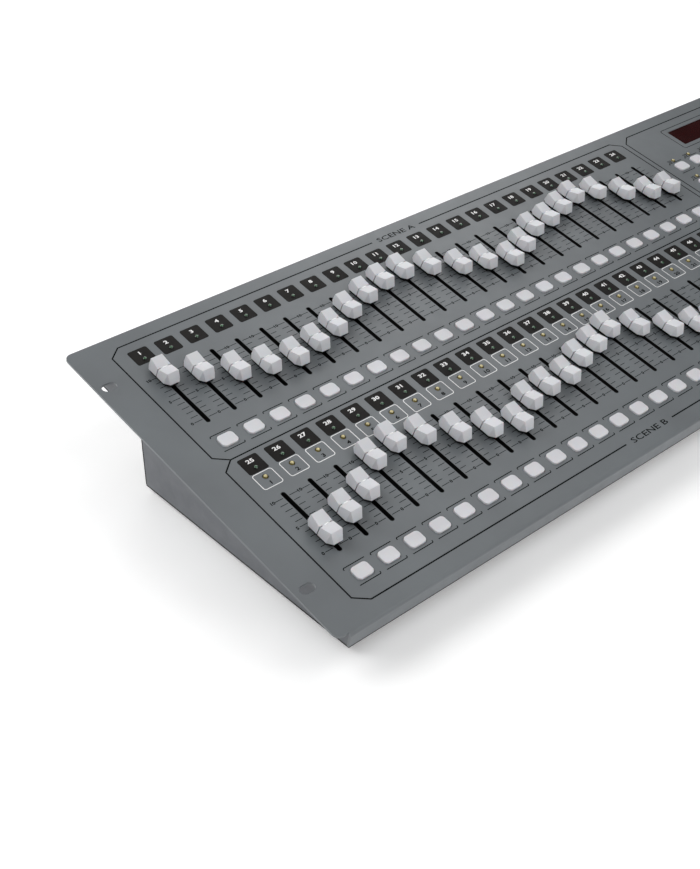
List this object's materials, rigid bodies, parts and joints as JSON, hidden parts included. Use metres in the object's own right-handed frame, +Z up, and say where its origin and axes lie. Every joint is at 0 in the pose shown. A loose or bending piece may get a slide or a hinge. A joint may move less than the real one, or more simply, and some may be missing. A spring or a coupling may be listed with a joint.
{
  "type": "lighting control desk",
  "caption": "Sloping two-preset stage lighting control desk: rows of channel faders with flash buttons on a grey steel rack panel over a wedge case.",
  "frame": {"origin": "centre of the footprint, on the surface under the rubber feet", "axes": "+X to the operator's right along the panel, +Y away from the operator, +Z up"},
  "size_m": [0.71, 0.2604, 0.0867],
  "materials": {
    "panel_paint": "mid grey fine-texture powder coat with black print",
    "case_paint": "mid grey fine-texture powder coat",
    "black_steel": "satin black powder coat",
    "rubber": "matt black rubber",
    "plated_steel": "zinc plate",
    "circuit_board": "green solder mask",
    "ribbon": "grey ribbon cable",
    "black_plastic": "satin black moulded plastic",
    "green_lens": "green tinted lens",
    "amber_lens": "amber tinted lens",
    "red_window": "dark red tinted window",
    "socket_metal": "satin nickel plate",
    "cap_plastic": "light grey satin moulded plastic",
    "button_plastic": "light grey satin moulded plastic"
  },
  "bodies": {
    "root": {"control_panel": "panel_paint", "left_side_wall": "case_paint", "right_side_wall": "case_paint", "front_wall": "case_paint", "floor_tray": "black_steel", "rear_wall": "black_steel", "overhang_cover": "black_steel", "rubber_feet": "rubber", "board_posts": "plated_steel", "processor_board": "circuit_board", "ribbon_cables": "ribbon", "tact_switches": "black_plastic", "green_leds": "green_lens", "amber_leds": "amber_lens", "display_module": "black_plastic", "display_window": "red_window", "fader_housings": "black_steel", "dmx_sockets": "socket_metal", "midi_sockets": "black_plastic", "signal_jacks": "socket_metal", "power_inlet": "black_plastic", "power_switch_housing": "black_plastic", "machine_screws": "plated_steel", "fader_board_a": "circuit_board", "fader_board_b": "circuit_board", "master_board": "circuit_board"},
    "faders_a_05_15_24": {"faders_a_05_15_24": "cap_plastic"},
    "faders_a_04_06_23": {"faders_a_04_06_23": "cap_plastic"},
    "faders_a_14_16": {"faders_a_14_16": "cap_plastic"},
    "faders_a_03_07": {"faders_a_03_07": "cap_plastic"},
    "faders_a_13_22": {"faders_a_13_22": "cap_plastic"},
    "faders_a_08_17": {"faders_a_08_17": "cap_plastic"},
    "faders_a_02_18": {"faders_a_02_18": "cap_plastic"},
    "faders_a_09_12": {"faders_a_09_12": "cap_plastic"},
    "faders_a_19_21": {"faders_a_19_21": "cap_plastic"},
    "faders_a_01_10": {"faders_a_01_10": "cap_plastic"},
    "faders_a_11_20": {"faders_a_11_20": "cap_plastic"},
    "faders_b_01_19": {"faders_b_01_19": "cap_plastic"},
    "faders_b_09_18": {"faders_b_09_18": "cap_plastic"},
    "faders_b_02_20": {"faders_b_02_20": "cap_plastic"},
    "faders_b_08_17": {"faders_b_08_17": "cap_plastic"},
    "faders_b_03_10": {"faders_b_03_10": "cap_plastic"},
    "faders_b_11_12": {"faders_b_11_12": "cap_plastic"},
    "faders_b_07_21": {"faders_b_07_21": "cap_plastic"},
    "faders_b_13_16": {"faders_b_13_16": "cap_plastic"},
    "faders_b_22_24": {"faders_b_22_24": "cap_plastic"},
    "faders_b_06_14": {"faders_b_06_14": "cap_plastic"},
    "faders_b_04_23": {"faders_b_04_23": "cap_plastic"},
    "faders_b_05_15": {"faders_b_05_15": "cap_plastic"},
    "master_fader_a": {"master_fader_a": "cap_plastic"},
    "master_fader_b": {"master_fader_b": "cap_plastic"},
    "effect_level_fader": {"effect_level_fader": "cap_plastic"},
    "speed_fader": {"speed_fader": "cap_plastic"},
    "flash_buttons_a_01_12": {"flash_buttons_a_01_12": "button_plastic"},
    "flash_buttons_a_13_24": {"flash_buttons_a_13_24": "button_plastic"},
    "flash_buttons_b_01_12": {"flash_buttons_b_01_12": "button_plastic"},
    "flash_buttons_b_13_24": {"flash_buttons_b_13_24": "button_plastic"},
    "program_buttons": {"program_buttons": "button_plastic"},
    "playback_buttons": {"playback_buttons": "button_plastic"},
    "power_rocker": {"power_rocker": "black_plastic"}
  },
  "joints": [
    {"name": "faders_a_05_15_24_slide", "type": "slide", "parent": "root", "child": "faders_a_05_15_24", "axis": [0, 0.9797, 0.2004], "range_m": [-0.0137, 0.0313]},
    {"name": "faders_a_04_06_23_slide", "type": "slide", "parent": "root", "child": "faders_a_04_06_23", "axis": [0, 0.9797, 0.2004], "range_m": [-0.0171, 0.0279]},
    {"name": "faders_a_14_16_slide", "type": "slide", "parent": "root", "child": "faders_a_14_16", "axis": [0, 0.9797, 0.2004], "range_m": [-0.0211, 0.0239]},
    {"name": "faders_a_03_07_slide", "type": "slide", "parent": "root", "child": "faders_a_03_07", "axis": [0, 0.9797, 0.2004], "range_m": [-0.0227, 0.0223]},
    {"name": "faders_a_13_22_slide", "type": "slide", "parent": "root", "child": "faders_a_13_22", "axis": [0, 0.9797, 0.2004], "range_m": [-0.0267, 0.0183]},
    {"name": "faders_a_08_17_slide", "type": "slide", "parent": "root", "child": "faders_a_08_17", "axis": [0, 0.9797, 0.2004], "range_m": [-0.0314, 0.0136]},
    {"name": "faders_a_02_18_slide", "type": "slide", "parent": "root", "child": "faders_a_02_18", "axis": [0, 0.9797, 0.2004], "range_m": [-0.034, 0.011]},
    {"name": "faders_a_09_12_slide", "type": "slide", "parent": "root", "child": "faders_a_09_12", "axis": [0, 0.9797, 0.2004], "range_m": [-0.0379, 0.0071]},
    {"name": "faders_a_19_21_slide", "type": "slide", "parent": "root", "child": "faders_a_19_21", "axis": [0, 0.9797, 0.2004], "range_m": [-0.0394, 0.0056]},
    {"name": "faders_a_01_10_slide", "type": "slide", "parent": "root", "child": "faders_a_01_10", "axis": [0, 0.9797, 0.2004], "range_m": [-0.0431, 0.0019]},
    {"name": "faders_a_11_20_slide", "type": "slide", "parent": "root", "child": "faders_a_11_20", "axis": [0, 0.9797, 0.2004], "range_m": [-0.0445, 0.0005]},
    {"name": "faders_b_01_19_slide", "type": "slide", "parent": "root", "child": "faders_b_01_19", "axis": [0, 0.9797, 0.2004], "range_m": [-0.0106, 0.0344]},
    {"name": "faders_b_09_18_slide", "type": "slide", "parent": "root", "child": "faders_b_09_18", "axis": [0, 0.9797, 0.2004], "range_m": [-0.0132, 0.0318]},
    {"name": "faders_b_02_20_slide", "type": "slide", "parent": "root", "child": "faders_b_02_20", "axis": [0, 0.9797, 0.2004], "range_m": [-0.0169, 0.0281]},
    {"name": "faders_b_08_17_slide", "type": "slide", "parent": "root", "child": "faders_b_08_17", "axis": [0, 0.9797, 0.2004], "range_m": [-0.0204, 0.0246]},
    {"name": "faders_b_03_10_slide", "type": "slide", "parent": "root", "child": "faders_b_03_10", "axis": [0, 0.9797, 0.2004], "range_m": [-0.0239, 0.0211]},
    {"name": "faders_b_11_12_slide", "type": "slide", "parent": "root", "child": "faders_b_11_12", "axis": [0, 0.9797, 0.2004], "range_m": [-0.0269, 0.0181]},
    {"name": "faders_b_07_21_slide", "type": "slide", "parent": "root", "child": "faders_b_07_21", "axis": [0, 0.9797, 0.2004], "range_m": [-0.0283, 0.0167]},
    {"name": "faders_b_13_16_slide", "type": "slide", "parent": "root", "child": "faders_b_13_16", "axis": [0, 0.9797, 0.2004], "range_m": [-0.0343, 0.0107]},
    {"name": "faders_b_22_24_slide", "type": "slide", "parent": "root", "child": "faders_b_22_24", "axis": [0, 0.9797, 0.2004], "range_m": [-0.0359, 0.0091]},
    {"name": "faders_b_06_14_slide", "type": "slide", "parent": "root", "child": "faders_b_06_14", "axis": [0, 0.9797, 0.2004], "range_m": [-0.039, 0.006]},
    {"name": "faders_b_04_23_slide", "type": "slide", "parent": "root", "child": "faders_b_04_23", "axis": [0, 0.9797, 0.2004], "range_m": [-0.0401, 0.0049]},
    {"name": "faders_b_05_15_slide", "type": "slide", "parent": "root", "child": "faders_b_05_15", "axis": [0, 0.9797, 0.2004], "range_m": [-0.0444, 0.0006]},
    {"name": "master_fader_a_slide", "type": "slide", "parent": "root", "child": "master_fader_a", "axis": [0, 0.9797, 0.2004], "range_m": [-0.04, 0.005]},
    {"name": "master_fader_b_slide", "type": "slide", "parent": "root", "child": "master_fader_b", "axis": [0, 0.9797, 0.2004], "range_m": [-0.024, 0.021]},
    {"name": "effect_level_fader_slide", "type": "slide", "parent": "root", "child": "effect_level_fader", "axis": [0, 0.9797, 0.2004], "range_m": [-0.03, 0.015]},
    {"name": "speed_fader_slide", "type": "slide", "parent": "root", "child": "speed_fader", "axis": [0, 0.9797, 0.2004], "range_m": [-0.018, 0.027]},
    {"name": "flash_buttons_a_01_12_press", "type": "slide", "parent": "root", "child": "flash_buttons_a_01_12", "axis": [0, 0.2004, -0.9797], "range_m": [0, 0.0008], "stiffness_N_per_m": 800, "springref_m": -0.001},
    {"name": "flash_buttons_a_13_24_press", "type": "slide", "parent": "root", "child": "flash_buttons_a_13_24", "axis": [0, 0.2004, -0.9797], "range_m": [0, 0.0008], "stiffness_N_per_m": 800, "springref_m": -0.001},
    {"name": "flash_buttons_b_01_12_press", "type": "slide", "parent": "root", "child": "flash_buttons_b_01_12", "axis": [0, 0.2004, -0.9797], "range_m": [0, 0.0008], "stiffness_N_per_m": 800, "springref_m": -0.001},
    {"name": "flash_buttons_b_13_24_press", "type": "slide", "parent": "root", "child": "flash_buttons_b_13_24", "axis": [0, 0.2004, -0.9797], "range_m": [0, 0.0008], "stiffness_N_per_m": 800, "springref_m": -0.001},
    {"name": "program_buttons_press", "type": "slide", "parent": "root", "child": "program_buttons", "axis": [0, 0.2004, -0.9797], "range_m": [0, 0.0008], "stiffness_N_per_m": 800, "springref_m": -0.001},
    {"name": "playback_buttons_press", "type": "slide", "parent": "root", "child": "playback_buttons", "axis": [0, 0.2004, -0.9797], "range_m": [0, 0.0008], "stiffness_N_per_m": 800, "springref_m": -0.001},
    {"name": "power_rocker_tilt", "type": "hinge", "parent": "root", "child": "power_rocker", "pos_m": [0.268, 0.07842, 0.028], "axis": [1, 0, 0], "range_deg": [0, 20]}
  ]
}
